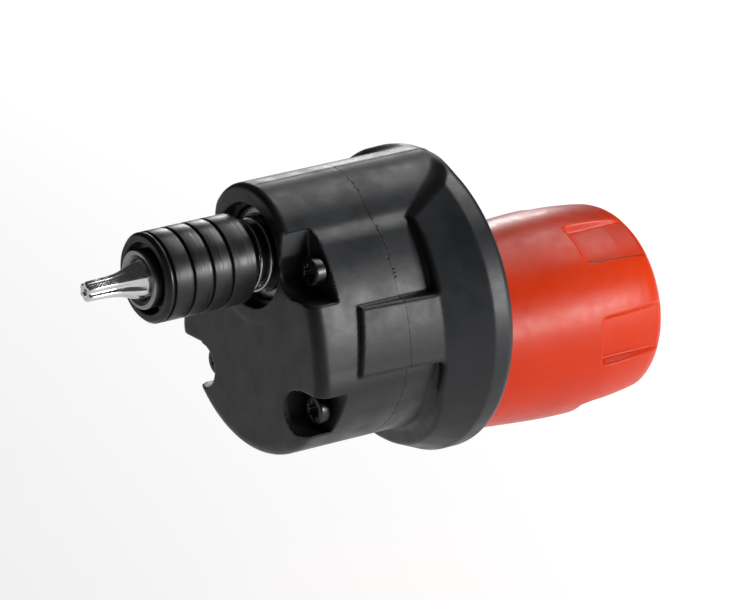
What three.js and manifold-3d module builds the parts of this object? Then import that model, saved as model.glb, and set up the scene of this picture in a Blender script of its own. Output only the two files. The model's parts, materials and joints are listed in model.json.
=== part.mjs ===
// An offset screwdriving head. Millimetres, +Z up, +X towards the driver that carries the head.
// The origin is the centre of the coupling seat, on the input axis.
import * as THREE from 'three';
import { mergeVertices } from 'three/addons/utils/BufferGeometryUtils.js';
import Module from 'manifold-3d';

const wasm = await Module();
wasm.setup();

// Axes and stations
const OFFSET = 22.5;                // output axis above the input axis
const FRONT_X = -46;                // front face of the gearcase
const PARTING_X = -28.8;            // joint between the two shells
const FLANGE_X = -22.3;             // front of the rear flange
const REAR_X = -9.7;                // back of the rear flange
const BOSS_END_X = 15;              // rear end of the coupling boss
const BOSS_START_X = -13.7;         // where the boss and the hollows end inside the flange
const GAP = 0.3;                    // clearance between touching pieces

// Gearcase section
const LOBE_R = 12.1;                // round top, on the output axis
const CASE_Z = 9.5;
const CASE_R = 21.8;
const EDGE = 2.2;                   // rounding of the front edge
const LOBE_EDGE = 1.2;              // the same edge around the lobe
const LEDGE = { y: 12.1, z: 27.8, topY: 9.9, topZ: 29.3 };
const FLANK_LOW = { y: 20.95, z: 3.5 };
const PANEL_X = -38.4;              // front edge of the raised side panels
const PANEL_RISE = 0.8;
const SKIRT_X = -14.8;              // where the skirt reaches the rim's full size
const RIM_Z = 8.4;
const RIM_R = 26.2;
const RIM_EDGE = 2;
const PANEL_LOW_Z = 5.5;
const PANEL_HIGH_Z = 17;

// Gears: three equal wheels in line
const MODULE_MM = 0.75;
const TEETH = 15;
const PITCH_R = MODULE_MM * TEETH / 2;
const IDLER_Z = OFFSET / 2;
const GEAR_FRONT_X = -36.8;
const GEAR_REAR_X = -29.2;
const CHAMBER_R = 7.1;
const CHAMBER_FRONT_X = -37.6;
const CHAMBER_REAR_X = -27.4;

// Shafts, bushes and the seats that hold them
const SHAFT_R = 3;
const INPUT_R = 3.5;
const PIN_R = 2;
const RUN_GAP = 0.15;               // running clearance between a shaft and its bush
const BUSH_R = 5;
const REAR_BUSH_R = 6;
const NOSE_BUSH_R = 7.4;
const NOSE_RING_R = 7.8;
const NOSE_STEPS = [[8.94, -43.8], [NOSE_RING_R + GAP, -42.7], [NOSE_BUSH_R + GAP, -38.4]];
const FRONT_SEAT_X = -41;
const OUTPUT_SEAT_X = -22;
const PIN_SEAT_X = -23.5;
const REAR_SEAT_X = -8.4;
const CLIP_X = [-28.6, -27.9];      // the circlips behind the gears
const CLIP_GROOVE = [[-28.7, SHAFT_R], [-28.7, 2.6], [-27.8, 2.6]];

// Output side
const SPINDLE_FRONT_X = -67.8;
const SPINDLE_R = 5;
const BIT_TIP_X = -78.1;
const BIT_REAR_X = -53.5;
const HEX_R = 3.667;                // corner radius of a 6.35 mm hexagon
const BALL_X = -60.5;
const BALL_R = 1.1;
const BALL_ORBIT = 3.95;
const SLEEVE_FRONT_X = -66.6;
const SLEEVE_REAR_X = -49;
const SLEEVE_R = 7.66;
const SPRING_R = 5.95;
const SPRING_WIRE_R = 0.4;
const SPRING_TURNS = 6;

// Screws: sides are mirrored, the first pair is the upper one
const SCREW_SEATS = [[13.3, 22.5], [14.4, -1.2]];
const SCREW_HEAD_X = -43;
const SCREW_HEAD_R = 2.5;
const SCREW_SHANK_R = 1.45;
const SCREW_HOLE_R = 1.75;
const SCREW_END_X = -20.8;
const POCKETS = [{ r: 4.1, inner: 9.8, top: 28.9 }, { r: 3.9, inner: 14.5, top: 3 }];
const POCKET_FLOOR_X = -40.6;

// Coupling
const BOSS_R = 13;
const SOCKET_R = 11;
const TANG_END_X = 20;
const SNAP_GROOVE = [12.4, 13.8];   // the groove for the ring that keeps the collar on
const CLIP_SLOT = [-2.6, -1.4];     // the groove for the ring that keeps the rear bush in
const COLLAR_FRONT_X = -9.3;
const COLLAR_REAR_X = 29.6;
const GRIPS = 6;
const GRIP_PHASE = 1.6 * Math.PI / 180;
const GRIP_DEPTH = 1.35;

const material = (color, roughness, metalness) =>
  new THREE.MeshStandardMaterial({ color, roughness, metalness });
const BLACK = material(0x1b1c1f, 0.55, 0);
const RED = material(0xbd2008, 0.3, 0);
const STEEL = material(0x8c8d90, 0.35, 1);
const DARK_STEEL = material(0x3a3b3e, 0.4, 1);
const BRONZE = material(0x9a7444, 0.5, 1);

const part = new THREE.Group();

// A closed geometry as a solid, with its faces turned outwards.
function solid(geometry) {
  const bare = new THREE.BufferGeometry();
  bare.setAttribute('position', geometry.getAttribute('position'));
  bare.setIndex(geometry.index);
  const merged = mergeVertices(bare, 1e-5);
  const points = merged.getAttribute('position');
  const triangles = [];
  let volume = 0;
  const [a, b, c] = [new THREE.Vector3(), new THREE.Vector3(), new THREE.Vector3()];
  for (let i = 0; i < merged.index.count; i += 3) {
    const [p, q, r] = [0, 1, 2].map((k) => merged.index.getX(i + k));
    if (p === q || q === r || r === p) continue;
    triangles.push(p, q, r);
    a.fromBufferAttribute(points, p);
    b.fromBufferAttribute(points, q);
    c.fromBufferAttribute(points, r);
    volume += a.dot(b.cross(c));
  }
  const triVerts = Uint32Array.from(volume < 0 ? triangles.reverse() : triangles);
  const vertProperties = Float32Array.from(points.array);
  return new wasm.Manifold(new wasm.Mesh({ numProp: 3, vertProperties, triVerts }));
}

// Adds a solid to the part as a named mesh.
function add(name, body, look) {
  const { vertProperties, triVerts } = body.getMesh();
  const geometry = new THREE.BufferGeometry();
  geometry.setAttribute('position', new THREE.BufferAttribute(vertProperties, 3));
  geometry.setIndex(new THREE.BufferAttribute(triVerts, 1));
  geometry.computeVertexNormals();
  const mesh = new THREE.Mesh(geometry, look);
  mesh.name = name;
  part.add(mesh);
}

// An outline in (y, z), pushed along X.
function prism(outline, x0, x1, curveSegments = 12) {
  const geometry = new THREE.ExtrudeGeometry(outline, { depth: x1 - x0, bevelEnabled: false, curveSegments });
  const turn = new THREE.Matrix4().set(0, 0, 1, x0, 1, 0, 0, 0, 0, 1, 0, 0, 0, 0, 0, 1);
  return solid(geometry.applyMatrix4(turn));
}

// A profile of [x, radius] points turned about an axis along X at the height z.
function turned(profile, z = 0, segments = 24, y = 0) {
  const points = profile.map(([x, r]) => new THREE.Vector2(r, x));
  const geometry = new THREE.LatheGeometry(points, segments);
  return solid(geometry.rotateZ(-Math.PI / 2).translate(0, y, z));
}

const rod = (r, x0, x1, z = 0, y = 0, segments = 16) =>
  turned([[x0, 0], [x0, r], [x1, r], [x1, 0]], z, segments, y);

const tube = (rIn, rOut, x0, x1, z = 0, segments = 24) =>
  turned([[x0, rIn], [x0, rOut], [x1, rOut], [x1, rIn], [x0, rIn]], z, segments);

// A box from its lowest to its highest corner.
function block([x0, y0, z0], [x1, y1, z1]) {
  const geometry = new THREE.BoxGeometry(x1 - x0, y1 - y0, z1 - z0);
  return solid(geometry.translate((x0 + x1) / 2, (y0 + y1) / 2, (z0 + z1) / 2));
}

// Rings of points joined in order. The last ring joins the first, or both ends are closed by fans.
function loft(rings, endless) {
  const count = rings[0].length;
  const points = rings.flat(2);
  const index = [];
  const last = endless ? rings.length : rings.length - 1;
  for (let i = 0; i < last; i++) {
    const next = (i + 1) % rings.length;
    for (let j = 0; j < count; j++) {
      const k = (j + 1) % count;
      index.push(i * count + j, i * count + k, next * count + k);
      index.push(i * count + j, next * count + k, next * count + j);
    }
  }
  if (!endless) {
    for (const [ring, flip] of [[0, false], [rings.length - 1, true]]) {
      const centre = points.length / 3;
      const at = [0, 1, 2].map((axis) => rings[ring].reduce((sum, p) => sum + p[axis], 0) / count);
      points.push(...at);
      for (let j = 0; j < count; j++) {
        const edge = [ring * count + (j + 1) % count, ring * count + j];
        index.push(centre, ...(flip ? edge.reverse() : edge));
      }
    }
  }
  const geometry = new THREE.BufferGeometry();
  geometry.setAttribute('position', new THREE.Float32BufferAttribute(points, 3));
  geometry.setIndex(index);
  return solid(geometry);
}

const ringAt = (x, z, r, count) => Array.from({ length: count }, (_, j) => {
  const angle = 2 * Math.PI * j / count;
  return [x, r * Math.cos(angle), z + r * Math.sin(angle)];
});

const join = (bodies) => bodies.reduce((sum, body) => sum.add(body));
const cut = (body, tools) => tools.reduce((rest, tool) => rest.subtract(tool), body);

// A hexagon outline in (y, z) with a corner up.
function hexagon(r, z) {
  const outline = new THREE.Shape();
  for (let i = 0; i < 6; i++) {
    const angle = Math.PI / 2 + i * Math.PI / 3;
    outline[i ? 'lineTo' : 'moveTo'](r * Math.cos(angle), z + r * Math.sin(angle));
  }
  return outline.closePath();
}

// A C-shaped ring, open at the bottom.
function openRing(name, rIn, rOut, x0, x1, z, look, curveSegments = 8) {
  const opening = 0.35;
  const outline = new THREE.Shape();
  outline.absarc(0, z, rOut, opening - Math.PI / 2, 2 * Math.PI - opening - Math.PI / 2, false);
  outline.absarc(0, z, rIn, 2 * Math.PI - opening - Math.PI / 2, opening - Math.PI / 2, true);
  add(name, prism(outline, x0, x1, curveSegments), look);
}

// An involute wheel with one tooth pointing up.
function gear(name, z, bore) {
  const pressure = 20 * Math.PI / 180;
  const baseR = PITCH_R * Math.cos(pressure);
  const rootR = PITCH_R - 1.25 * MODULE_MM;
  const tipR = PITCH_R + 0.88 * MODULE_MM;
  const thickness = Math.PI * MODULE_MM / 2 - 0.2;
  const involute = (angle) => Math.tan(angle) - angle;
  const halfTooth = (r) => {
    const angle = r > baseR ? involute(Math.acos(baseR / r)) : 0;
    return thickness / (2 * PITCH_R) + involute(pressure) - angle;
  };
  const radii = [rootR, baseR, (baseR + tipR) / 2, tipR];
  const flank = radii.map((r) => [r, halfTooth(r)]);
  const tooth = [...flank.map(([r, a]) => [r, -a]), ...flank.reverse()];
  const outline = [];
  for (let i = 0; i < TEETH; i++) {
    for (const [r, a] of tooth) {
      const angle = Math.PI / 2 + 2 * Math.PI * i / TEETH + a;
      outline.push(new THREE.Vector2(r * Math.cos(angle), z + r * Math.sin(angle)));
    }
  }
  const wheel = prism(new THREE.Shape(outline), GEAR_FRONT_X, GEAR_REAR_X);
  add(name, cut(wheel, [rod(bore, GEAR_FRONT_X - 1, GEAR_REAR_X + 1, z)]), STEEL);
}

// The gearcase outline: a round belly, flanks that lean in, and a ledge under the top lobe.
function caseOutline(inset) {
  const bellyR = CASE_R - inset;
  const low = Math.atan2(FLANK_LOW.z - CASE_Z, FLANK_LOW.y);
  const flank = [[20.7, 7.5], [19.9, 13], [18.8, 17.2], [17.2, 21], [15, 24.7], [LEDGE.y, LEDGE.z]]
    .map(([y, z]) => [y - inset, z - inset / 2]);
  const outline = new THREE.Shape();
  outline.absarc(0, CASE_Z, bellyR, Math.PI - low, 2 * Math.PI + low, false);
  for (const [y, z] of flank) outline.lineTo(y, z);
  outline.lineTo(LEDGE.topY - inset, LEDGE.topZ);
  outline.lineTo(inset - LEDGE.topY, LEDGE.topZ);
  for (const [y, z] of flank.toReversed()) outline.lineTo(-y, z);
  return outline.closePath();
}

// The outside of both shells in one piece, with the front edge rounded in steps.
function shellForm() {
  const steps = 2;
  const bodies = [];
  for (let i = 0; i <= steps; i++) {
    const angle = Math.PI / 2 * i / steps;
    const inset = 1 - Math.sin(angle);
    const depth = 1 - Math.cos(angle);
    bodies.push(prism(caseOutline(EDGE * inset), FRONT_X + EDGE * depth, SKIRT_X, 11));
    const lobeX = FRONT_X + LOBE_EDGE * depth;
    bodies.push(rod(LOBE_R - LOBE_EDGE * inset, lobeX, REAR_X - RIM_EDGE, OFFSET, 0, 40));
  }
  const slab = block([PANEL_X, -40, PANEL_LOW_Z], [FLANGE_X + 1, 40, PANEL_HIGH_Z]);
  const panels = prism(caseOutline(-PANEL_RISE), PANEL_X, FLANGE_X + 1, 11).intersect(slab);
  return join([...bodies, panels, skirt()]);
}

// How far an outline reaches from the belly's centre in one direction.
function reach(outline, angle) {
  const way = new THREE.Vector2(Math.cos(angle), Math.sin(angle));
  let far = 0;
  outline.forEach((from, i) => {
    const edge = outline[(i + 1) % outline.length].clone().sub(from);
    const start = new THREE.Vector2(from.x, from.y - CASE_Z);
    const across = way.cross(edge);
    if (Math.abs(across) < 1e-9) return;
    const along = start.cross(way) / across;
    if (along >= 0 && along <= 1) far = Math.max(far, start.cross(edge) / across);
  });
  return far;
}

// The skirt widens from the gearcase section into the round rim.
function skirt() {
  const count = 56;
  const outline = caseOutline(-PANEL_RISE).getPoints(16);
  const front = Array.from({ length: count }, (_, j) => {
    const angle = 2 * Math.PI * j / count;
    const r = reach(outline, angle);
    return [FLANGE_X, r * Math.cos(angle), CASE_Z + r * Math.sin(angle)];
  });
  const rim = [[REAR_X - RIM_EDGE, 0], [REAR_X - 0.9, 0.9], [REAR_X, RIM_EDGE]];
  const rings = [front, ringAt(SKIRT_X, RIM_Z, RIM_R, count)];
  for (const [x, inset] of rim) rings.push(ringAt(x, RIM_Z, RIM_R - inset, count));
  const lobe = rim.map(([x, inset]) => rod(LOBE_R - inset, FLANGE_X, x, OFFSET, 0, 40));
  return join([loft(rings, false), ...lobe]);
}

// The gear chamber: three bores in a row, joined.
function chamber(r, x0, x1) {
  const outline = new THREE.Shape();
  outline.absarc(0, OFFSET, r, 0, Math.PI, false);
  outline.absarc(0, 0, r, Math.PI, 2 * Math.PI, false);
  return prism(outline, x0, x1, 14);
}

// The moulded hollows on both sides of the gear chamber.
function sideHollows(x0, x1) {
  const wall = 2.4;
  const posts = screwSeats().map(([y, z]) => rod(4.2, x0 - 1, x1 + 1, z, y));
  const hollow = prism(caseOutline(wall), x0, x1, 8);
  const lid = block([x0 - 1, -30, 21.5], [x1 + 1, 30, 40]);
  return cut(hollow, [chamber(9.4, x0 - 1, x1 + 1), lid, ...posts]);
}

const screwSeats = () => SCREW_SEATS.flatMap(([y, z]) => [[y, z], [-y, z]]);

// A screw's pocket is a round well, open to the side of the shell.
function screwPocket(y, z, { r, inner, top }) {
  const side = Math.sign(y);
  const wall = (from, low, high) => {
    const ends = [side * from, side * 30].sort((p, q) => p - q);
    return block([FRONT_X - 2, ends[0], low], [POCKET_FLOOR_X, ends[1], high]);
  };
  const well = rod(r, FRONT_X - 2, POCKET_FLOOR_X, z, y, 24);
  return join([well, wall(Math.abs(y), z - r, top), wall(inner, z, top)]);
}

function frontHousing() {
  const keep = block([FRONT_X - 1, -40, -40], [PARTING_X - GAP / 2, 40, 60]);
  const tools = [
    ...NOSE_STEPS.map(([r, x]) => rod(r, FRONT_X - 1, x, OFFSET, 0, 32)),
    rod(SPINDLE_R + 0.6, FRONT_X + 1, CHAMBER_FRONT_X + 1, OFFSET),
    chamber(CHAMBER_R, CHAMBER_FRONT_X, PARTING_X + 1),
    rod(BUSH_R + GAP, FRONT_SEAT_X, CHAMBER_FRONT_X + 1, 0),
    rod(PIN_R + GAP, FRONT_SEAT_X, CHAMBER_FRONT_X + 1, IDLER_Z),
    sideHollows(FRONT_X + 3, PARTING_X + 1),
  ];
  screwSeats().forEach(([y, z], i) => {
    tools.push(screwPocket(y, z, POCKETS[i >> 1]));
    tools.push(rod(SCREW_HOLE_R, FRONT_X, PARTING_X + 1, z, y, 14));
  });
  add('front_housing', cut(shellForm().intersect(keep), tools), BLACK);
}

// Guides around the mouth of the socket let the head be set at six angles.
function indexSlots() {
  const count = 6;
  return Array.from({ length: count }, (_, i) => {
    const slot = new THREE.BoxGeometry(6, 1.6, 1.4).translate(BOSS_END_X - 2, 0, SOCKET_R + 0.1);
    return solid(slot.rotateX(2 * Math.PI * i / count));
  });
}

function rearHousing() {
  const keep = block([PARTING_X + GAP / 2, -40, -40], [REAR_X + 1, 40, 60]);
  const shell = shellForm().intersect(keep);
  const boss = rod(BOSS_R, BOSS_START_X, BOSS_END_X, 0, 0, 36);
  const tools = [
    chamber(CHAMBER_R, PARTING_X - 1, CHAMBER_REAR_X),
    rod(BUSH_R + GAP, CHAMBER_REAR_X - 1, OUTPUT_SEAT_X, OFFSET),
    rod(PIN_R + GAP, CHAMBER_REAR_X - 1, PIN_SEAT_X, IDLER_Z),
    rod(INPUT_R + 0.6, CHAMBER_REAR_X - 1, 1, 0),
    rod(REAR_BUSH_R + GAP, REAR_SEAT_X, 1, 0),
    rod(REAR_BUSH_R + 1, ...CLIP_SLOT, 0),
    rod(SOCKET_R, 0, BOSS_END_X + 1, 0, 0, 36),
    tube(BOSS_R - 1, BOSS_R + 2, ...SNAP_GROOVE, 0, 36),
    sideHollows(PARTING_X - 1, BOSS_START_X),
    ...screwSeats().map(([y, z]) => rod(SCREW_HOLE_R, PARTING_X - 1, SCREW_END_X + 0.4, z, y, 14)),
    ...indexSlots(),
  ];
  add('rear_housing', cut(join([shell, boss]), tools), BLACK);
}

// A six-lobe section. The lobes swing the radius between the root and the tip.
function lobedRing(x, z, root, tip, y = 0, count = 24) {
  const middle = (root + tip) / 2;
  return Array.from({ length: count }, (_, j) => {
    const angle = 2 * Math.PI * j / count;
    const r = middle + (tip - root) / 2 * Math.cos(6 * angle);
    return [x, y + r * Math.cos(angle), z + r * Math.sin(angle)];
  });
}

function housingScrews() {
  screwSeats().forEach(([y, z], i) => {
    const body = turned([
      [SCREW_HEAD_X, 0],
      [SCREW_HEAD_X, SCREW_HEAD_R - 0.5],
      [SCREW_HEAD_X + 0.5, SCREW_HEAD_R],
      [SCREW_HEAD_X + 2.1, SCREW_HEAD_R],
      [SCREW_HEAD_X + 2.1, SCREW_SHANK_R],
      [SCREW_END_X - 0.7, SCREW_SHANK_R],
      [SCREW_END_X, 0.6],
      [SCREW_END_X, 0],
    ], z, 16, y);
    const rings = [SCREW_HEAD_X - 1, SCREW_HEAD_X + 1.3].map((x) => lobedRing(x, z, 0.95, 1.35, y, 12));
    add(`housing_screw_${i + 1}`, cut(body, [loft(rings, false)]), DARK_STEEL);
  });
}

function bushes() {
  add('output_front_bush', tube(SPINDLE_R + RUN_GAP, NOSE_BUSH_R, -42.4, -38.7, OFFSET, 28), BRONZE);
  add('output_rear_bush', tube(SHAFT_R + RUN_GAP, BUSH_R, -26.9, OUTPUT_SEAT_X - GAP, OFFSET), BRONZE);
  add('input_front_bush', tube(SHAFT_R + RUN_GAP, BUSH_R, FRONT_SEAT_X + GAP, -37.9, 0), BRONZE);
  add('input_rear_bush', tube(INPUT_R + RUN_GAP, REAR_BUSH_R, REAR_SEAT_X + GAP, -2.9, 0), BRONZE);
  add('nose_ring', tube(SPINDLE_R + 0.5, NOSE_RING_R, -43.4, NOSE_STEPS[1][1] - GAP, OFFSET, 28), DARK_STEEL);
  openRing('bush_circlip', 4.4, REAR_BUSH_R + 0.7, CLIP_SLOT[0] + GAP, CLIP_SLOT[1] - GAP, 0, DARK_STEEL);
  const snapX = [SNAP_GROOVE[0] + GAP, SNAP_GROOVE[1] - GAP];
  openRing('collar_snap_ring', BOSS_R - 0.8, BOSS_R + 0.9, ...snapX, 0, DARK_STEEL, 18);
}

function inputShaft() {
  const round = turned([
    [-40.4, 0], [-40.4, SHAFT_R - 0.4], [-40, SHAFT_R], ...CLIP_GROOVE,
    [-27.8, INPUT_R], [4, INPUT_R], [4, 0],
  ]);
  const tang = prism(hexagon(HEX_R, 0), 3, TANG_END_X);
  const tip = turned([[2, 0], [2, 5], [18.5, 5], [TANG_END_X, 3.1], [TANG_END_X, 0]], 0, 36);
  add('input_shaft', join([round, tang.intersect(tip)]), STEEL);
  gear('input_gear', 0, SHAFT_R + 0.2);
  openRing('input_circlip', SHAFT_R - 0.2, SHAFT_R + 1.2, ...CLIP_X, 0, DARK_STEEL);
}

function idler() {
  add('idler_pin', rod(PIN_R, FRONT_SEAT_X + GAP, PIN_SEAT_X - GAP, IDLER_Z), STEEL);
  gear('idler_gear', IDLER_Z, PIN_R + RUN_GAP);
}

function outputSpindle() {
  const body = turned([
    [SPINDLE_FRONT_X, 0], [SPINDLE_FRONT_X, SPINDLE_R - 0.4], [SPINDLE_FRONT_X + 0.4, SPINDLE_R],
    [-65.1, SPINDLE_R], [-65.1, 4.5], [-64.3, 4.5], [-64.3, SPINDLE_R],
    [-44.2, SPINDLE_R], [-44.2, 4.5], [-43.5, 4.5], [-43.5, SPINDLE_R],
    [-37.2, SPINDLE_R], [-37.2, SHAFT_R], ...CLIP_GROOVE,
    [-27.8, SHAFT_R], [-22.5, SHAFT_R], [-22.5, 0],
  ], OFFSET);
  const ballHole = new THREE.CylinderGeometry(BALL_R + 0.15, BALL_R + 0.15, 6, 20);
  ballHole.rotateX(Math.PI / 2).translate(BALL_X, 0, OFFSET + 5);
  add('output_spindle', cut(body, [
    prism(hexagon(HEX_R + 0.12, OFFSET), SPINDLE_FRONT_X - 1, BIT_REAR_X + 0.2),
    rod(3.15, BIT_REAR_X - 1, -50.9, OFFSET),
    solid(ballHole),
  ]), DARK_STEEL);
  add('bit_magnet', rod(2.9, BIT_REAR_X + GAP, -51.2, OFFSET), STEEL);
  gear('output_gear', OFFSET, SHAFT_R + 0.2);
  openRing('output_circlip', SHAFT_R - 0.2, SHAFT_R + 1.2, ...CLIP_X, OFFSET, DARK_STEEL);
  openRing('sleeve_stop_ring', 4.7, 6.7, -65, -64.45, OFFSET, DARK_STEEL);
  openRing('spring_washer', 4.7, 6.7, -44.1, -43.65, OFFSET, DARK_STEEL);
}

// The bit flares from its fluted tip into the hexagon, which has a waist for the ball.
function bit() {
  const hex = prism(hexagon(HEX_R, OFFSET), -67.2, BIT_REAR_X);
  const ends = turned([
    [-68.2, 0], [-68.2, 3], [-66.8, 3.8], [-62.2, 3.8], [-61.6, 2.75], [-59.4, 2.75],
    [-58.8, 3.8], [-54.3, 3.8], [BIT_REAR_X, 3], [BIT_REAR_X, 0],
  ], OFFSET);
  const flutes = [
    [BIT_TIP_X, 1.15, 1.6], [BIT_TIP_X + 0.4, 1.3, 1.78], [-73.6, 1.35, 1.85],
    [-71, 1.65, 2.3], [-69, 2.3, 2.95], [-67, 2.95, 3.15],
  ].map(([x, root, tip]) => lobedRing(x, OFFSET, root, tip));
  const pinHole = rod(0.55, BIT_TIP_X - 1, BIT_TIP_X + 2.5, OFFSET, 0, 16);
  add('torx_bit', cut(join([hex.intersect(ends), loft(flutes, false)]), [pinHole]), STEEL);
}

function lockingSleeve() {
  const grooves = [-65.4, -61.6, -57.8, -54.05];
  const outside = grooves.flatMap((x) => [
    [x - 0.5, SLEEVE_R], [x, SLEEVE_R - 0.5], [x + 0.5, SLEEVE_R],
  ]);
  const rampX = BALL_X + 0.3;
  const rampR = (x) => 5.2 + 0.33 * (rampX - x);
  add('locking_sleeve', turned([
    [SLEEVE_FRONT_X, 6.9], [SLEEVE_FRONT_X, 7.1], [SLEEVE_FRONT_X + 0.6, SLEEVE_R], ...outside,
    [SLEEVE_REAR_X - 0.4, SLEEVE_R], [SLEEVE_REAR_X, SLEEVE_R - 0.4], [SLEEVE_REAR_X, 6.75],
    [-57.5, 6.75], [-57.5, 5.2], [rampX, 5.2], [-64.2, rampR(-64.2)], [-64.2, 6.9],
    [SLEEVE_FRONT_X, 6.9],
  ], OFFSET, 24), BLACK);
}

// A coil spring between the washer and the shoulder inside the sleeve.
function sleeveSpring() {
  const start = -44.7;
  const end = -57;
  const points = [];
  const perTurn = 9;
  for (let i = 0; i <= perTurn * SPRING_TURNS; i++) {
    const angle = 2 * Math.PI * i / perTurn + Math.PI / 3;
    const x = start + (end - start) * i / (perTurn * SPRING_TURNS);
    points.push(new THREE.Vector3(x, SPRING_R * Math.cos(angle), OFFSET + SPRING_R * Math.sin(angle)));
  }
  const wire = new THREE.Shape();
  wire.absarc(0, 0, SPRING_WIRE_R, 0, 2 * Math.PI, false);
  const path = new THREE.CatmullRomCurve3(points);
  const steps = perTurn * SPRING_TURNS;
  const geometry = new THREE.ExtrudeGeometry(wire, { steps, extrudePath: path, curveSegments: 2 });
  add('sleeve_spring', solid(geometry), STEEL);
}

function lockBall() {
  const ball = new THREE.SphereGeometry(BALL_R, 12, 8).translate(BALL_X, 0, OFFSET + BALL_ORBIT);
  add('lock_ball', solid(ball), STEEL);
}

const smooth = (value, low, high) => {
  const t = Math.min(Math.max((value - low) / (high - low), 0), 1);
  return t * t * (3 - 2 * t);
};

// The collar is a barrel with grip recesses outside and three bayonet lugs inside.
function collar() {
  const count = 48;
  const barrel = [
    [COLLAR_FRONT_X, 16.1], [-2, 16.8], [9, 17.75], [13, 17.85], [16, 17.85], [18.5, 17.7], [22.5, 17.35],
    [26.8, 16.6], [28.5, 15.8], [COLLAR_REAR_X, 14.4],
  ];
  const hollow = [
    [COLLAR_REAR_X, 11.6], [15.4, 11.6],
    [15.4, 13.35], [14, 13.35], [14, 14.15], [12.3, 14.15], [12.3, 13.35], [COLLAR_FRONT_X, 13.35],
  ];
  const grip = (x, angle) => {
    const spacing = 2 * Math.PI / GRIPS;
    const from = Math.abs(((angle - GRIP_PHASE) / spacing % 1 + 1.5) % 1 - 0.5) * spacing;
    const across = 1 - smooth(from, 13 * Math.PI / 180, 17 * Math.PI / 180);
    return GRIP_DEPTH * across * smooth(x, 14, 18.5) * (1 - 0.75 * smooth(x, 24, COLLAR_REAR_X));
  };
  const ring = (x, radius) => Array.from({ length: count }, (_, j) => {
    const angle = 2 * Math.PI * j / count;
    const r = radius(angle);
    return [x, r * Math.cos(angle), r * Math.sin(angle)];
  });
  const outer = barrel.map(([x, r]) => ring(x, (angle) => r - grip(x, angle)));
  const inner = hollow.map(([x, r]) => ring(x, () => r));
  const lugs = [0, 1, 2].map((i) => {
    const outline = new THREE.Shape();
    const from = 2 * Math.PI * i / 3 + 0.3;
    outline.absarc(0, 0, 12, from, from + 0.6, false);
    outline.absarc(0, 0, 10.5, from + 0.6, from, true);
    return prism(outline, 22, 26);
  });
  add('fastening_collar', join([loft([...outer, ...inner], true), ...lugs]), RED);
}

frontHousing();
rearHousing();
housingScrews();
bushes();
inputShaft();
idler();
outputSpindle();
bit();
lockingSleeve();
sleeveSpring();
lockBall();
collar();

export default part;
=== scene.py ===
"""An offset screwdriving head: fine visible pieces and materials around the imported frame."""

import json
from math import cos, pi, radians, sin

import bpy
import numpy as np
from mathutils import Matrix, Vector


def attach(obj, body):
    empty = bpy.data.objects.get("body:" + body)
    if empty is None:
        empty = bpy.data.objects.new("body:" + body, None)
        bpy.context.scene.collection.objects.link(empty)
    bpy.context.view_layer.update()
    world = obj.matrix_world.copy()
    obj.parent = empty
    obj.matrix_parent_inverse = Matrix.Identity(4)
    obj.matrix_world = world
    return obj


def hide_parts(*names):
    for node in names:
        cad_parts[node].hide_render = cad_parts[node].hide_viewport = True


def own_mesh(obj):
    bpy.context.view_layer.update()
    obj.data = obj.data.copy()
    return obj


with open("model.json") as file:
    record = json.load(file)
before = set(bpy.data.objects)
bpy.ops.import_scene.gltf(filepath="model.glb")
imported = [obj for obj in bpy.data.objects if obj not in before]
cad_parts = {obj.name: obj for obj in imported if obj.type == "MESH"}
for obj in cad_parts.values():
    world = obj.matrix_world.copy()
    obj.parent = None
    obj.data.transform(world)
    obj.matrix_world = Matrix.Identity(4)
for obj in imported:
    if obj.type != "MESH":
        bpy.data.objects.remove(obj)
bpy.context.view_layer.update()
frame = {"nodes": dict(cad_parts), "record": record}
MM = 0.001

# Shape of the gearcase, in millimetres, close to the CAD model's. X runs towards the driver, Z is up.
OFFSET = 22.5
FRONT_X = -46.0
PARTING_X = -28.8
SEAM = 0.03
FLANGE_X = -22.3
REAR_X = -9.7
BOSS_START_X = -13.7
BOSS_END_X = 15.0
LOBE_R = 12.1
CASE_Z = 9.5
CASE_R = 21.8
EDGE = 2.2
LOBE_EDGE = 1.2
PANEL_X = -38.4
PANEL_Z = (5.5, 17.0)
RIM_Z = 8.4
RIM_R = 26.2
RIM_EDGE = 2.0
SCREWS = [(13.3, 22.5), (14.4, -1.2)]
POCKETS = [(4.1, 9.8, 28.9), (3.9, 14.5, 3.0)]      # radius, inner side and top of each side opening
SCREW_HEAD_X = -43.0
SCREW_HOLE_R = 1.5
POCKET_FLOOR_X = -40.6
LEDGE = (12.7, 27.4, 0.489, 0.872)                  # a point of the ledge, then the way it faces
BELLY_TOP_Z = -2.0

# The share of the round rim in the raised surface, at places along X
FLARE = ([-38.4, FLANGE_X, -18.0, -14.2], [0.15, 0.42, 0.72, 1.0])

# Bores around the spindle's axis in the front shell: radius, where each one ends, and its edge
FRONT_BORES = [(8.94, -43.8, 0.35), (8.1, -42.7, 0.2), (7.7, -38.4, 0.1), (5.6, -36, 0.1)]

# Bores around the tang's axis in the rear shell: radius, both ends, and the edge
REAR_BORES = [(11.0, 0, 40, 0.5), (4.1, -40, 9, 0.1), (6.3, -8.4, 9, 0.25), (7.0, -2.6, -1.4, 0.1)]

CHAMBER_R = 7.1
CHAMBER_X = (-37.6, -27.4)
SHAFT_SEAT_R = 5.3
IDLER_SEAT_R = 2.3
BOSS_R = 13.0
INDEX_SLOTS = 6

BIT_HEX = 3.667                                     # corner radius of the 1/4 inch hexagon
HOLDER_HEX = 3.78
SHAFT_R = 3.5

# Size of the cells that the shells' surfaces are drawn on
CELL = 0.3

# Half width of the flank at each height, above the round belly
FLANK = [(-2.0, 18.54), (1.0, 20.07), (3.5, 20.93), (7.5, 20.75), (13.0, 19.9),
         (17.2, 18.75), (21.0, 17.2), (24.7, 15.0), (27.4, 12.8), (31.0, 9.9)]


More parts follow.
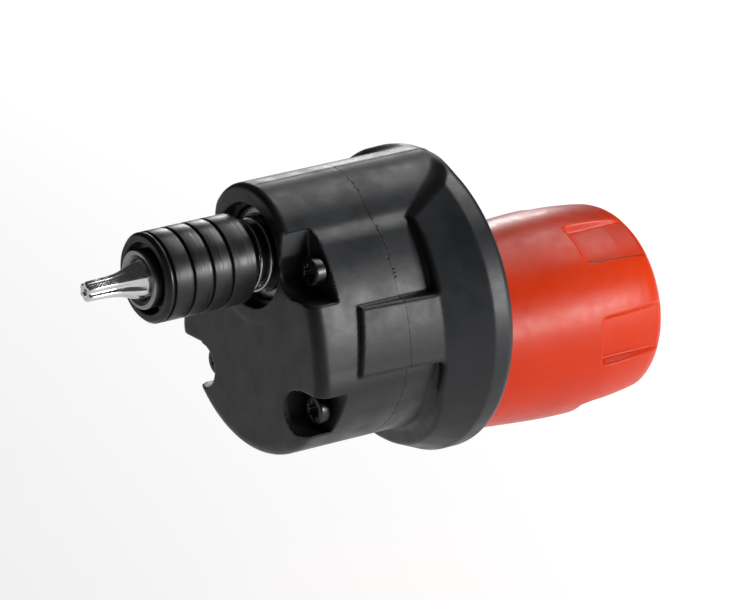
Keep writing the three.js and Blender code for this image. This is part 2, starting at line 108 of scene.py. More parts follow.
# ---- Mesh helpers -------------------------------------------------------------------------------


def new_object(name, points, faces, body, look, replaces=(), smooth=True):
    """A mesh in millimetres as a piece that rides on a body."""
    mesh = bpy.data.meshes.new(name)
    mesh.from_pydata((np.asarray(points, float) * MM).tolist(), [], [list(map(int, f)) for f in faces])
    mesh.validate()
    mesh.update()
    mesh.shade_smooth() if smooth else mesh.shade_flat()
    piece = bpy.data.objects.new(name, mesh)
    bpy.context.scene.collection.objects.link(piece)
    mesh.materials.append(look)
    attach(piece, body)
    if replaces:
        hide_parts(*replaces)
    return piece


def circle(r):
    return lambda angle: np.full_like(angle, r)


def hexagon(corner, soft=0.05):
    """A hexagon with a corner up, whose corners are slightly rounded."""
    def radius(angle):
        turn = np.mod(angle, pi / 3) - pi / 6
        flat = corner * cos(pi / 6) / np.cos(turn)
        return np.minimum(flat, corner * (1 - soft))
    return radius


def star(root, tip):
    """A six-lobe section."""
    def radius(angle):
        wave = np.cos(6 * angle)
        return (root + tip) / 2 + (tip - root) / 2 * np.sign(wave) * np.abs(wave) ** 0.8
    return radius


def mixed(first, second, share):
    return lambda angle: (1 - share) * first(angle) + share * second(angle)


def polar_points(stations, count, z, y):
    """Rings of points around an axis along X. A station is (x, radius) or (x, radius function)."""
    angle = np.arange(count) * 2 * pi / count + pi / 2
    rings = []
    for x, r in stations:
        radius = r(angle - pi / 2) if callable(r) else np.full(count, float(r))
        rings.append(np.c_[np.full(count, x), y + radius * np.cos(angle), z + radius * np.sin(angle)])
    return np.array(rings)


def polar_mesh(stations, count=192, z=0.0, y=0.0, closed=False):
    """Points and faces of stations joined in order. A closed list of stations is a ring-shaped body."""
    rings = polar_points(stations, count, z, y)
    points = rings.reshape(-1, 3)
    total = len(stations)
    faces = []
    for i in range(total if closed else total - 1):
        low, high = i * count, (i + 1) % total * count
        j = np.arange(count)
        k = (j + 1) % count
        faces.append(np.c_[low + j, low + k, high + k, high + j])
    faces = np.concatenate(faces).tolist()
    if not closed:
        for ring, order in ((0, -1), (total - 1, 1)):
            points = np.r_[points, [[stations[ring][0], y, z]]]
            start = ring * count
            for j in range(count):
                edge = [start + j, start + (j + 1) % count]
                faces.append([len(points) - 1, *edge[::order]])
    if signed_volume(points, faces) < 0:
        faces = [f[::-1] for f in faces]
    return points, faces


def signed_volume(points, faces):
    total = 0.0
    for size in (3, 4):
        chosen = np.array([f for f in faces if len(f) == size], int)
        if len(chosen):
            a = points[chosen[:, 0]]
            for k in range(1, size - 1):
                b, c = points[chosen[:, k]], points[chosen[:, k + 1]]
                total += np.einsum("ij,ij->i", a, np.cross(b, c)).sum()
    return total


def rounded(profile, radius, steps=4):
    """A profile of [x, r] points whose inner corners are replaced by small arcs."""
    points = [np.array(p[:2], float) for p in profile]
    result = [points[0]]
    for before, corner, after in zip(points, points[1:], points[2:]):
        back, on = before - corner, after - corner
        reach = min(radius, np.linalg.norm(back) / 2.2, np.linalg.norm(on) / 2.2)
        a = corner + back / np.linalg.norm(back) * reach
        b = corner + on / np.linalg.norm(on) * reach
        for i in range(steps + 1):
            t = i / steps
            result.append((1 - t) ** 2 * a + 2 * t * (1 - t) * corner + t * t * b)
    result.append(points[-1])
    return [(float(x), float(r)) for x, r in result]


# ---- Distance fields for the two shells ---------------------------------------------------------


def smooth_step(value, low, high):
    t = np.clip((value - low) / (high - low), 0, 1)
    return t * t * (3 - 2 * t)


def blend_min(a, b, r):
    """Union with a fillet of radius r."""
    return np.maximum(r, np.minimum(a, b)) - np.hypot(np.maximum(r - a, 0), np.maximum(r - b, 0))


def blend_max(a, b, r):
    """Intersection with an edge rounded by r."""
    return np.minimum(-r, np.maximum(a, b)) + np.hypot(np.maximum(r + a, 0), np.maximum(r + b, 0))


def carve(body, tool, r):
    return blend_max(body, -tool, r)


def bar(y, z, r, at_y=0.0, at_z=0.0):
    return np.hypot(y - at_y, z - at_z) - r


def drill(x, y, z, r, x0, x1, at_y=0.0, at_z=0.0):
    return np.maximum(bar(y, z, r, at_y, at_z), np.maximum(x0 - x, x - x1))


def flank_table():
    """The flank's half width on a fine scale, by cubic pieces through its points."""
    z, w = np.array(FLANK).T
    slope = np.gradient(w, z)
    fine = np.linspace(z[0], z[-1], 400)
    i = np.clip(np.searchsorted(z, fine) - 1, 0, len(z) - 2)
    h = z[i + 1] - z[i]
    t = (fine - z[i]) / h
    width = ((1 + 2 * t) * (1 - t) ** 2 * w[i] + t * (1 - t) ** 2 * h * slope[i]
             + t * t * (3 - 2 * t) * w[i + 1] + t * t * (t - 1) * h * slope[i + 1])
    return fine, width, np.gradient(width, fine)


FLANK_FINE = flank_table()


def case_section(y, z):
    """The gearcase's section: a round belly, flanks that lean in and a ledge."""
    fine, width, slope = FLANK_FINE
    side = (np.abs(y) - np.interp(z, fine, width)) / np.sqrt(1 + np.interp(z, fine, slope) ** 2)
    belly = bar(y, z, CASE_R, 0, CASE_Z)
    section = np.where(z < BELLY_TOP_Z, belly, side)
    at_y, at_z, face_y, face_z = LEDGE
    ledge = (np.abs(y) - at_y) * face_y + (z - at_z) * face_z
    return blend_max(section, ledge, 0.35)


def flare_field(x, y, z, section):
    """The raised surface of the panels and the skirt, which widens into the round rim."""
    share = np.interp(x, *FLARE)
    rim = bar(y, z, RIM_R, 0, RIM_Z)
    return ((1 - share) * section + share * rim) * 0.92


def shell_form(x, y, z):
    """The outside of both shells."""
    section = case_section(y, z)
    lobe = blend_max(bar(y, z, LOBE_R, 0, OFFSET), FRONT_X - x, LOBE_EDGE)
    core = blend_min(blend_max(section, FRONT_X - x, EDGE), lobe, 0.4)
    low, high = PANEL_Z
    draft = 0.12 * (z - low)
    panel = np.maximum(np.maximum(low - z, z - high), PANEL_X + draft - x)
    skirt = FLANGE_X - x + 2.0 * np.maximum(z - 28, 0) + 0.22 * np.maximum(-z, 0)
    raised = blend_max(flare_field(x, y, z, section), blend_min(panel, skirt, 0.8), 0.5)
    fillet = 0.35 + 0.9 * smooth_step(-z, -5, 1) + 1.2 * smooth_step(z, 29, 31)
    body = blend_min(core, raised, fillet)
    return blend_max(body, x - REAR_X, RIM_EDGE)


def screw_seats():
    return [(side * y, z) for y, z in SCREWS for side in (1, -1)]


def pocket(x, y, z, at_y, at_z, r, inner, top):
    """A screw's pocket: a round well, open to the side of the shell."""
    out = y * np.sign(at_y)
    below_top = z - top
    wide = np.maximum(np.maximum(abs(at_y) - out, at_z - r - z), below_top)
    high = np.maximum(np.maximum(inner - out, at_z - z), below_top)
    section = np.minimum(bar(y, z, r, at_y, at_z), np.minimum(wide, high))
    return blend_max(section, x - POCKET_FLOOR_X, 0.35)


def chamber(x, y, z, r, x0, x1):
    """The gear chamber: three bores in a row, joined."""
    section = np.hypot(y, z - np.clip(z, 0, OFFSET)) - r
    return np.maximum(section, np.maximum(x0 - x, x - x1))


def front_field(x, y, z):
    body = np.maximum(shell_form(x, y, z), x - (PARTING_X - SEAM))
    outside = FRONT_X - 9
    for r, end, edge in FRONT_BORES:
        body = carve(body, drill(x, y, z, r, outside, end, 0, OFFSET), edge)
    body = carve(body, chamber(x, y, z, CHAMBER_R, CHAMBER_X[0], 0), 0.1)
    body = carve(body, drill(x, y, z, SHAFT_SEAT_R, -41, -36), 0.1)
    body = carve(body, drill(x, y, z, IDLER_SEAT_R, -41, -36, 0, OFFSET / 2), 0.1)
    for i, (at_y, at_z) in enumerate(screw_seats()):
        body = carve(body, pocket(x, y, z, at_y, at_z, *POCKETS[i // 2]), 0.25)
        body = carve(body, drill(x, y, z, SCREW_HOLE_R, outside, 0, at_y, at_z), 0.1)
    return body


def index_slot(x, y, z, angle):
    """A slot in the boss's end that a rib of the driver's nose could drop into."""
    along = -y * sin(angle) + z * cos(angle)
    across = np.abs(y * cos(angle) + z * sin(angle))
    return np.maximum(np.maximum(across - 0.8, 9 - along), np.maximum(along - 11.8, 10 - x))


def rear_field(x, y, z):
    shell = np.maximum(shell_form(x, y, z), (PARTING_X + SEAM) - x)
    boss = blend_max(bar(y, z, BOSS_R), x - BOSS_END_X, 0.5)
    boss = np.maximum(boss, BOSS_START_X - x)
    body = blend_min(shell, boss, 0.2)
    ring_groove = np.maximum(12 - np.hypot(y, z), np.abs(x - 13.1) - 0.7)
    body = carve(body, ring_groove, 0.1)
    for r, start, end, edge in REAR_BORES:
        body = carve(body, drill(x, y, z, r, start, end), edge)
    body = carve(body, chamber(x, y, z, CHAMBER_R, -40, CHAMBER_X[1]), 0.1)
    body = carve(body, drill(x, y, z, SHAFT_SEAT_R, -40, -22, 0, OFFSET), 0.1)
    body = carve(body, drill(x, y, z, IDLER_SEAT_R, -40, -23.5, 0, OFFSET / 2), 0.1)
    for at_y, at_z in screw_seats():
        body = carve(body, drill(x, y, z, SCREW_HOLE_R, -40, -20.4, at_y, at_z), 0.1)
    for i in range(INDEX_SLOTS):
        body = carve(body, index_slot(x, y, z, i * 2 * pi / INDEX_SLOTS), 0.15)
    return body


CORNERS = [(i, j, k) for i in (0, 1) for j in (0, 1) for k in (0, 1)]
CELL_EDGES = [(a, b) for a in CORNERS for b in CORNERS if a < b and sum(p != q for p, q in zip(a, b)) == 1]


def sampled(field, axes):
    """The field on a grid, worked out one slice at a time."""
    y, z = np.meshgrid(axes[1], axes[2], indexing="ij")
    return np.array([field(np.full_like(y, x), y, z) for x in axes[0]], np.float32)


def net_vertices(grid, axes):
    """One vertex for each cell that the surface passes through, and the cells' numbers."""
    inside = grid < 0
    shape = tuple(n - 1 for n in grid.shape)
    window = lambda a, c: a[c[0]:c[0] + shape[0], c[1]:c[1] + shape[1], c[2]:c[2] + shape[2]]
    count = sum(window(inside, c).astype(np.int8) for c in CORNERS)
    cells = np.argwhere((count > 0) & (count < 8))
    number = np.full(shape, -1, np.int32)
    number[tuple(cells.T)] = np.arange(len(cells))
    total = np.zeros((len(cells), 3))
    hits = np.zeros(len(cells))
    for a, b in CELL_EDGES:
        da = grid[tuple((cells + a).T)].astype(float)
        db = grid[tuple((cells + b).T)].astype(float)
        crossed = (da < 0) != (db < 0)
        t = np.where(crossed, da / np.where(crossed, da - db, 1), 0)
        spot = cells + np.array(a) + t[:, None] * (np.array(b) - np.array(a))
        total += spot * crossed[:, None]
        hits += crossed
    spots = total / hits[:, None]
    origin = np.array([axis[0] for axis in axes])
    return origin + spots * (axes[0][1] - axes[0][0]), number, inside


def net_faces(number, inside):
    """A quad around each grid edge that the surface crosses."""
    faces = []
    for axis in range(3):
        one, two = (axis + 1) % 3, (axis + 2) % 3
        low = [slice(None)] * 3
        high = [slice(None)] * 3
        low[axis], high[axis] = slice(0, -1), slice(1, None)
        start, end = inside[tuple(low)], inside[tuple(high)]
        edges = np.argwhere(start != end)
        edges = edges[(edges[:, one] > 0) & (edges[:, two] > 0)]
        fits = (edges[:, one] < number.shape[one]) & (edges[:, two] < number.shape[two])
        edges = edges[fits]
        corners = []
        for step_one, step_two in ((1, 1), (0, 1), (0, 0), (1, 0)):
            cell = edges.copy()
            cell[:, one] -= step_one
            cell[:, two] -= step_two
            corners.append(number[tuple(cell.T)])
        quads = np.array(corners).T
        outward = start[tuple(edges.T)]
        quads[~outward] = quads[~outward][:, ::-1]
        faces.append(quads)
    return np.concatenate(faces)


def settle(points, field, steps=3):
    """Moves the vertices onto the surface itself."""
    h = 0.02
    for _ in range(steps):
        value = field(*points.T)
        slope = [(field(*(points + d).T) - field(*(points - d).T)) / (2 * h) for d in np.eye(3) * h]
        slope = np.array(slope).T
        length = np.maximum((slope ** 2).sum(1), 0.25)
        move = -slope * (value / length)[:, None]
        far = np.linalg.norm(move, axis=1)
        points = points + move * np.minimum(1, 0.3 * CELL / np.maximum(far, 1e-9))[:, None]
    return points


def square_rim(points, flat_x):
    """Brings the outer rim of the parting face onto the outer form, without leaving the face."""
    h = 0.02
    rim = (points[:, 0] == flat_x) & (np.abs(shell_form(*points.T)) < 0.5 * CELL)
    for _ in range(3):
        x, y, z = points[rim].T
        value = shell_form(x, y, z)
        slope_y = (shell_form(x, y + h, z) - shell_form(x, y - h, z)) / (2 * h)
        slope_z = (shell_form(x, y, z + h) - shell_form(x, y, z - h)) / (2 * h)
        length = np.maximum(slope_y ** 2 + slope_z ** 2, 0.25)
        points[rim, 1] -= slope_y * value / length
        points[rim, 2] -= slope_z * value / length


def shell_mesh(field, low, high, flat_x):
    """The surface of a field. Its flat face at flat_x falls in the middle of a cell, and is kept sharp."""
    axes = [np.arange(a - CELL * 1.37, b + 2 * CELL, CELL) for a, b in zip(low, high)]
    before = np.ceil((flat_x - low[0]) / CELL) + 1.5
    axes[0] = np.arange(flat_x - before * CELL, high[0] + 2 * CELL, CELL)
    points, number, inside = net_vertices(sampled(field, axes), axes)
    faces = net_faces(number, inside)
    points = settle(points, field)
    points[np.abs(points[:, 0] - flat_x) < 0.5 * CELL, 0] = flat_x
    square_rim(points, flat_x)
    return points, faces


# ---- Materials ----------------------------------------------------------------------------------


class Look:
    """A material made of nodes, with a Principled shader at its end."""

    def __init__(self, name, roughness, metallic=0.0, coat=0.0, coat_roughness=0.1, specular=0.5):
        self.material = bpy.data.materials.new(name)
        self.material.use_nodes = True
        self.nodes = self.material.node_tree.nodes
        self.links = self.material.node_tree.links
        self.shader = self.nodes["Principled BSDF"]
        self.shader.inputs["Metallic"].default_value = metallic
        self.shader.inputs["Roughness"].default_value = roughness
        self.shader.inputs["Coat Weight"].default_value = coat
        self.shader.inputs["Coat Roughness"].default_value = coat_roughness
        self.shader.inputs["Specular IOR Level"].default_value = specular
        self.place = self.nodes.new("ShaderNodeTexCoord").outputs["Object"]

    def noise(self, scale, detail=2.0, stretch=(1, 1, 1)):
        mapping = self.nodes.new("ShaderNodeMapping")
        mapping.inputs["Scale"].default_value = stretch
        self.links.new(self.place, mapping.inputs["Vector"])
        texture = self.nodes.new("ShaderNodeTexNoise")
        texture.inputs["Scale"].default_value = scale
        texture.inputs["Detail"].default_value = detail
        self.links.new(mapping.outputs["Vector"], texture.inputs["Vector"])
        return texture.outputs["Fac"]

    def ramp(self, value, stops):
        node = self.nodes.new("ShaderNodeValToRGB")
        elements = node.color_ramp.elements
        while len(elements) < len(stops):
            elements.new(0.5)
        for element, (place, colour) in zip(elements, stops):
            element.position = place
            element.color = (*colour, 1)
        self.links.new(value, node.inputs["Fac"])
        return node.outputs["Color"]

    def colour(self, source):
        self.links.new(source, self.shader.inputs["Base Color"])

    def rough(self, value, low, high):
        node = self.nodes.new("ShaderNodeMapRange")
        node.inputs["From Min"].default_value = 0.3
        node.inputs["From Max"].default_value = 0.7
        node.inputs["To Min"].default_value = low
        node.inputs["To Max"].default_value = high
        self.links.new(value, node.inputs["Value"])
        self.links.new(node.outputs["Result"], self.shader.inputs["Roughness"])

    def bump(self, values, distance, strength=1.0):
        normal = None
        for value, share in values:
            node = self.nodes.new("ShaderNodeBump")
            node.inputs["Strength"].default_value = strength
            node.inputs["Distance"].default_value = distance * share
            self.links.new(value, node.inputs["Height"])
            if normal:
                self.links.new(normal, node.inputs["Normal"])
            normal = node.outputs["Normal"]
        self.links.new(normal, self.shader.inputs["Normal"])


def black_shell():
    """Moulded black plastic with a fine spark-eroded grain."""
    look = Look("black_shell", 0.45, specular=0.32)
    cloud = look.noise(90, 3)
    look.colour(look.ramp(cloud, [(0.3, (0.0065, 0.0072, 0.0085)), (0.7, (0.0105, 0.0115, 0.0135))]))
    look.rough(look.noise(260, 4), 0.36, 0.5)
    look.bump([(look.noise(2600, 3), 1.0), (look.noise(700, 2), 1.4)], 0.00002, 0.5)
    return look.material


def black_sleeve():
    """Satin black, with fine marks around the sleeve from turning and handling."""
    look = Look("black_sleeve", 0.4, specular=0.3)
    cloud = look.noise(180, 3)
    look.colour(look.ramp(cloud, [(0.3, (0.007, 0.007, 0.0078)), (0.7, (0.012, 0.012, 0.0132))]))
    marks = look.noise(900, 3, (4, 0.15, 0.15))
    look.rough(marks, 0.26, 0.46)
    look.bump([(marks, 1.0), (look.noise(1800, 2), 0.7)], 0.00001, 0.4)
    return look.material


def red_collar():
    """Glossy red with a slight orange peel."""
    look = Look("red_collar", 0.34, specular=0.18)
    cloud = look.noise(60, 2)
    look.colour(look.ramp(cloud, [(0.3, (0.43, 0.021, 0.0012)), (0.7, (0.49, 0.028, 0.0018))]))
    look.rough(look.noise(420, 3), 0.3, 0.4)
    look.bump([(look.noise(1500, 2), 1.0)], 0.00001, 0.35)
    return look.material


def metal(name, dark, light, roughness, grain=900, stretch=(1, 1, 1), depth=0.000004):
    look = Look(name, sum(roughness) / 2, metallic=1.0)
    marks = look.noise(grain, 3, stretch)
    look.colour(look.ramp(look.noise(150, 3), [(0.3, dark), (0.7, light)]))
    look.rough(marks, *roughness)
    look.bump([(marks, 1.0)], depth, 0.5)
    return look.material


def make_looks():
    turned = (5, 0.3, 0.3)
    return {
        "black_shell": black_shell(),
        "black_sleeve": black_sleeve(),
        "red_collar": red_collar(),
        "bit_steel": metal("bit_steel", (0.56, 0.55, 0.54), (0.66, 0.65, 0.64), (0.14, 0.26)),
        "holder_steel": metal("holder_steel", (0.20, 0.20, 0.205), (0.28, 0.28, 0.285), (0.26, 0.4), 700,
                              turned),
        "gear_steel": metal("gear_steel", (0.40, 0.40, 0.41), (0.48, 0.48, 0.49), (0.25, 0.4), 800, turned),
        "spring_steel": metal("spring_steel", (0.30, 0.30, 0.31), (0.38, 0.38, 0.39), (0.16, 0.28)),
        "black_oxide": metal("black_oxide", (0.030, 0.030, 0.032), (0.060, 0.060, 0.064), (0.25, 0.42)),
        "bronze": metal("bronze", (0.36, 0.22, 0.10), (0.46, 0.29, 0.14), (0.4, 0.6), 1600),
    }


LOOKS = make_looks()


# ---- Pieces -------------------------------------------------------------------------------------


def piece(name, mesh, body, slot, *nodes):
    points, faces = mesh
    return new_object(name, points, faces, body, LOOKS[slot], nodes)


def shells():
    mesh = shell_mesh(front_field, (FRONT_X, -24, -13), (PARTING_X, 24, 35.2), PARTING_X - SEAM)
    front = piece("front_shell", mesh, "housing", "black_shell", "front_housing")
    mesh = shell_mesh(rear_field, (PARTING_X, -27, -18.8), (BOSS_END_X, 27, 35.4), PARTING_X + SEAM)
    rear = piece("rear_shell", mesh, "housing", "black_shell", "rear_housing")
    for shell in (front, rear):
        shell.data.set_sharp_from_angle(angle=radians(48))


def screws():
    x = SCREW_HEAD_X
    socket = star(0.95, 1.38)
    wide = star(1.02, 1.45)
    stations = [(x + 1.35, 0.3), (x + 1.3, star(0.9, 1.33)), (x + 0.15, socket), (x + 0.04, wide), (x, 1.7)]
    stations += rounded([(x, 1.7), (x, 2.48), (x + 2.1, 2.48), (x + 2.1, 1.45), (x + 8, 1.45)], 0.55, 6)[1:]
    pitch = 0.7
    turns = int((-22 - (x + 9)) / pitch)
    for i in range(turns):
        start = x + 9 + i * pitch
        stations += [(start, 1.2), (start + 0.25, 1.45), (start + 0.35, 1.45), (start + 0.6, 1.2)]
    stations += [(-21.2, 1.2), (-20.8, 0.6)]
    for i, (y, z) in enumerate(screw_seats()):
        mesh = polar_mesh(stations, 96, z, y)
        piece(f"screw_{i + 1}", mesh, "housing", "black_oxide", f"housing_screw_{i + 1}")


BARREL = [(-9.3, 15.7), (-9.05, 16.1), (-8.5, 16.28), (-6, 16.52), (-2, 16.85), (4, 17.35), (9, 17.72),
          (13, 17.85), (16, 17.84), (19, 17.68), (22, 17.4), (24.5, 17.08), (26.8, 16.6), (28.1, 16.0),
          (29.0, 15.15), (29.5, 14.4)]
GRIP_HALF_MM = 4.3
GRIP_FRONT_X = 15.0
GRIP_CORNER = 0.9


def grip_depth(x, radius, angle):
    """How far the collar is pressed in: six pockets with a ramp in front, running out at the back."""
    spacing = pi / 3
    phase = radians(1.6)
    from_centre = np.mod(angle - phase + spacing / 2, spacing) - spacing / 2
    side = np.abs(from_centre) * radius - (GRIP_HALF_MM - GRIP_CORNER)
    front = (GRIP_FRONT_X + GRIP_CORNER) - x
    distance = np.hypot(np.maximum(side, 0), np.maximum(front, 0)) + np.minimum(np.maximum(side, front), 0)
    wall = 1 - smooth_step(distance, GRIP_CORNER - 0.55, GRIP_CORNER + 0.35)
    floor = np.interp(x, [14, 17, 23.5, 28, 29.6], [16.5, 16.25, 16.1, 15.75, 14.9])
    return wall * np.maximum(radius - floor, 0)


def fine_profile(points, step):
    """A smooth profile through the points, with stations a step apart."""
    x, r = np.array(points).T
    travel = np.r_[0, np.cumsum(np.hypot(np.diff(x), np.diff(r)))]
    slope_x, slope_r = np.gradient(x, travel), np.gradient(r, travel)
    fine = np.linspace(0, travel[-1], max(8, int(travel[-1] / step)))
    i = np.clip(np.searchsorted(travel, fine, side="right") - 1, 0, len(travel) - 2)
    h = travel[i + 1] - travel[i]
    t = (fine - travel[i]) / h
    weights = [(1 + 2 * t) * (1 - t) ** 2, t * t * (3 - 2 * t), t * (1 - t) ** 2 * h, t * t * (t - 1) * h]
    mix = lambda v, s: weights[0] * v[i] + weights[1] * v[i + 1] + weights[2] * s[i] + weights[3] * s[i + 1]
    return list(zip(mix(x, slope_x), mix(r, slope_r)))


def lug_rise(angle):
    """Three bayonet lugs inside the collar's mouth."""
    turn = np.mod(angle - 0.3, 2 * pi / 3)
    return 1.1 * smooth_step(turn, 0, 0.05) * (1 - smooth_step(turn, 0.55, 0.6))


def collar():
    count = 720
    outer = []
    for x, r in fine_profile(BARREL, 0.28):
        outer.append((x, lambda angle, x=x, r=r: r - grip_depth(x, r, angle + pi / 2)))
    plain = rounded([(29.5, 14.4), (29.6, 12.2), (29.0, 11.6), (26.2, 11.6)], 0.3, 4)
    lugs = [(x, lambda angle, share=share: 11.6 - share * lug_rise(angle + pi / 2))
            for x, share in ((26.05, 0.0), (26, 0.9), (25.8, 1.0), (22.2, 1.0), (22, 0.9), (21.95, 0.0))]
    back = rounded([(21.8, 11.6), (15.4, 11.6), (15.4, 13.35), (14, 13.35), (14, 14.15), (12.3, 14.15),
                    (12.3, 13.35), (-9.3, 13.35), (-9.3, 15.65)], 0.25, 3)
    mesh = polar_mesh(outer + plain[1:] + lugs + back, count, closed=True)
    piece("collar_barrel", mesh, "collar", "red_collar", "fastening_collar")


def sleeve():
    front, rear, r = -66.6, -49.0, 7.66
    profile = [(front, 6.9), (front, 7.15), (front + 0.55, r)]
    for groove in (-65.4, -61.6, -57.8, -54.05):
        profile += [(groove - 0.3, r), (groove - 0.2, r - 0.5), (groove + 0.2, r - 0.5), (groove + 0.3, r)]
    profile += [(rear - 0.45, r), (rear, r - 0.45), (rear, 6.75), (-57.5, 6.75), (-57.5, 5.2),
                (-60.2, 5.2), (-64.2, 6.52), (-64.2, 6.0), (front + 0.25, 6.0), (front, 6.15), (front, 6.9)]
    mesh = polar_mesh(rounded(profile, 0.1, 3)[:-1], 256, OFFSET, closed=True)
    piece("sleeve_body", mesh, "sleeve", "black_sleeve", "locking_sleeve")


def spindle():
    x, r = -67.8, 5.0
    outside = rounded([(x, 4.3), (x, r), (-65.1, r), (-65.1, 4.5), (-64.3, 4.5), (-64.3, r), (-44.2, r),
                       (-44.2, 4.5), (-43.5, 4.5), (-43.5, r), (-37.2, r), (-37.2, 3), (-22.5, 3),
                       (-22.5, 0.1)], 0.45, 5)
    hexed = hexagon(HOLDER_HEX)
    bore = [(-50.9, 0.1), (-50.9, 3.1), (-53.4, 3.15), (-53.45, hexed), (x + 1.0, hexed)]
    mouth = [(x + 0.75, mixed(hexed, circle(3.72), 0.75)), (x + 0.55, 3.8), (x + 0.12, 4.2)]
    mesh = polar_mesh(bore + mouth + outside, 240, OFFSET)
    piece("spindle_body", mesh, "spindle", "holder_steel", "output_spindle")


def bit():
    tip = -78.1
    stations = [(tip + 2.6, 0.02), (tip + 2.5, 0.52), (tip + 0.12, 0.52), (tip, 0.64)]
    flutes = [(0.0, 1.2, 1.5), (0.12, 1.27, 1.66), (0.4, 1.3, 1.76), (2, 1.31, 1.8), (4.2, 1.34, 1.86),
              (5.6, 1.45, 2.0), (7, 1.72, 2.28), (8.2, 2.1, 2.66), (9.2, 2.5, 3.0), (10.1, 2.86, 3.22)]
    stations += [(tip + dx, star(a, b)) for dx, a, b in flutes]
    last, shank = star(2.86, 3.22), hexagon(BIT_HEX)
    stations += [(-67.7, mixed(last, shank, 0.5)), (-67.2, shank), (-62.2, shank)]
    stations += [(-61.6, 2.75), (-59.4, 2.75), (-58.8, shank), (-54.2, shank), (-53.5, 3.1)]
    mesh = polar_mesh(stations, 240, OFFSET)
    piece("bit_body", mesh, "spindle", "bit_steel", "torx_bit")


def bush(name, node, ends, radii, z=0.0):
    """A plain bush. Its radii are the bore's, the place where the outline starts, and the outside's."""
    front, back = ends
    inner, middle, outer = radii
    corners = [(front, outer), (back, outer), (back, inner), (front, inner)]
    profile = rounded([(front, middle), *corners, (front, middle)], 0.3, 4)[:-1]
    piece(name, polar_mesh(profile, 160, z, closed=True), "housing", "bronze", node)


def rings():
    nose = [(-43.4, 5.6), (-43.4, 7.65), (-43.3, 7.8), (-43.0, 7.8), (-43.0, 5.5), (-43.3, 5.5)]
    mesh = polar_mesh(nose, 192, OFFSET, closed=True)
    piece("nose_step_ring", mesh, "housing", "holder_steel", "nose_ring")
    bush("rear_bush", "input_rear_bush", (-8.1, -2.9), (3.65, 5, 6))
    bush("front_bush", "output_front_bush", (-42.4, -38.7), (5.15, 6, 7.4), OFFSET)


def drive_shaft():
    profile = rounded([(-40.4, 0.1), (-40.4, 3), (-28.7, 3), (-28.7, 2.6), (-27.8, 2.6), (-27.8, SHAFT_R),
                       (3.0, SHAFT_R)], 0.3, 4)
    hexed = hexagon(BIT_HEX)
    tang = [(3.2, mixed(circle(SHAFT_R), hexed, 0.5)), (3.6, hexed), (18.6, hexed)]
    stations = profile + tang + [(19.3, 3.35), (19.8, 2.9), (20.0, 2.2)]
    mesh = polar_mesh(stations, 180)
    piece("drive_shaft", mesh, "drive", "gear_steel", "input_shaft")


def spring():
    """A coil between the washer and the shoulder inside the sleeve, with closed ends."""
    start, end, radius, wire, turns = -44.7, -57.0, 5.95, 0.4, 6.0
    steps, sides = 420, 14
    share = np.linspace(0, 1, steps)
    angle = 2 * pi * turns * share + pi / 3
    x = start + (end - start) * share
    centre = np.c_[x, radius * np.cos(angle), OFFSET + radius * np.sin(angle)]
    along = np.gradient(centre, axis=0)
    along /= np.linalg.norm(along, axis=1)[:, None]
    out = np.c_[np.zeros(steps), np.cos(angle), np.sin(angle)]
    side = np.cross(along, out)
    turn = 2 * pi * np.arange(sides) / sides
    points = (centre[:, None] + wire * (np.cos(turn)[None, :, None] * out[:, None]
                                        + np.sin(turn)[None, :, None] * side[:, None])).reshape(-1, 3)
    faces = []
    for i in range(steps - 1):
        for j in range(sides):
            k = (j + 1) % sides
            faces.append([i * sides + j, i * sides + k, (i + 1) * sides + k, (i + 1) * sides + j])
    last = (steps - 1) * sides
    faces += [list(range(sides))[::-1], [last + j for j in range(sides)]]
    if signed_volume(points, [f for f in faces if len(f) == 4]) < 0:
        faces = [f[::-1] for f in faces]
    coil = piece("coil", (points, faces), "spindle", "spring_steel", "sleeve_spring")
    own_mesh(coil)


def dress_frame():
    """The CAD nodes that stay get their slot's finished material."""
    for part in frame["record"]["subparts"]:
        node = frame["nodes"][part["node"]]
        node.data.materials.clear()
        node.data.materials.append(LOOKS[part["material_slot"]])


# ---- Camera and light ---------------------------------------------------------------------------

VIEW_AZIMUTH = radians(-35.2)
VIEW_ELEVATION = radians(19.5)
LENS = 300.0
SENSOR = 36.0
VIEW_WIDTH_MM = 124.2
TARGET_RIGHT = 21.0
TARGET_DOWN = 7.45


def camera_axes():
    back = Vector((sin(VIEW_AZIMUTH) * cos(VIEW_ELEVATION), -cos(VIEW_AZIMUTH) * cos(VIEW_ELEVATION),
                   sin(VIEW_ELEVATION)))
    right = Vector((cos(VIEW_AZIMUTH), sin(VIEW_AZIMUTH), 0))
    return back, right, back.cross(right)


def camera():
    back, right, up = camera_axes()
    data = bpy.data.cameras.new("camera")
    data.lens = LENS
    data.sensor_width = SENSOR
    data.clip_end = 100
    target = (Vector((FRONT_X, 0, OFFSET)) + right * TARGET_RIGHT - up * TARGET_DOWN) * MM
    eye = bpy.data.objects.new("camera", data)
    eye.location = target + back * (VIEW_WIDTH_MM * MM * LENS / SENSOR)
    eye.rotation_euler = back.to_track_quat("Z", "Y").to_euler()
    bpy.context.scene.collection.objects.link(eye)
    bpy.context.scene.camera = eye


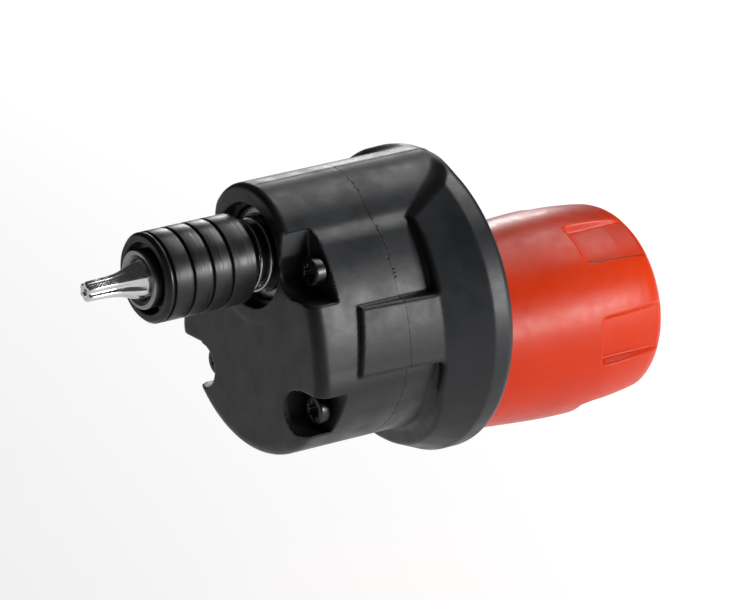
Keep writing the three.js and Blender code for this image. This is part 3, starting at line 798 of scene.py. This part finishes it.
def softbox(name, direction, distance, size, power, aim=(-0.02, 0, 0.01)):
    data = bpy.data.lights.new(name, "AREA")
    data.shape = "RECTANGLE"
    data.size, data.size_y = size
    data.energy = power
    lamp = bpy.data.objects.new(name, data)
    way = Vector(direction).normalized()
    lamp.location = Vector(aim) + way * distance
    lamp.rotation_euler = way.to_track_quat("Z", "Y").to_euler()
    bpy.context.scene.collection.objects.link(lamp)


FLOOR_REACH = 30.0
FLOOR_HEIGHT = -0.06


def floor_plane():
    """A plain pale floor in metres, lifted a little by its own light so that it runs out to white."""
    mesh = bpy.data.meshes.new("floor")
    sides = ((-1, -1), (1, -1), (1, 1), (-1, 1))
    corners = [(x * FLOOR_REACH, y * FLOOR_REACH, FLOOR_HEIGHT) for x, y in sides]
    mesh.from_pydata(corners, [], [[0, 1, 2, 3]])
    floor = bpy.data.objects.new("floor", mesh)
    look = Look("floor_paint", 0.9)
    look.shader.inputs["Base Color"].default_value = (0.8, 0.8, 0.8, 1)
    look.shader.inputs["Emission Color"].default_value = (1, 1, 1, 1)
    look.shader.inputs["Emission Strength"].default_value = 0.36
    mesh.materials.append(look.material)
    bpy.context.scene.collection.objects.link(floor)


def studio():
    """Dim even light from all round, and four soft boxes."""
    world = bpy.data.worlds.new("studio")
    world.use_nodes = True
    world.node_tree.nodes["Background"].inputs["Color"].default_value = (1, 1, 1, 1)
    world.node_tree.nodes["Background"].inputs["Strength"].default_value = 0.05
    bpy.context.scene.world = world
    bpy.context.scene.view_settings.view_transform = "Standard"
    softbox("side_box", (0.54, -0.80, 0.16), 0.6, (0.34, 0.16), 4.2)
    softbox("top_box", (0.54, 0.10, 0.76), 0.6, (0.42, 0.10), 1.7)
    softbox("rim_light", (0.54, 0.80, 0.28), 0.6, (0.12, 0.08), 0.7)
    softbox("left_box", (-0.54, 0.77, -0.20), 0.7, (0.4, 0.3), 0.5)


camera()
floor_plane()
studio()
dress_frame()
shells()
screws()
collar()
sleeve()
spindle()
bit()
rings()
drive_shaft()
spring()
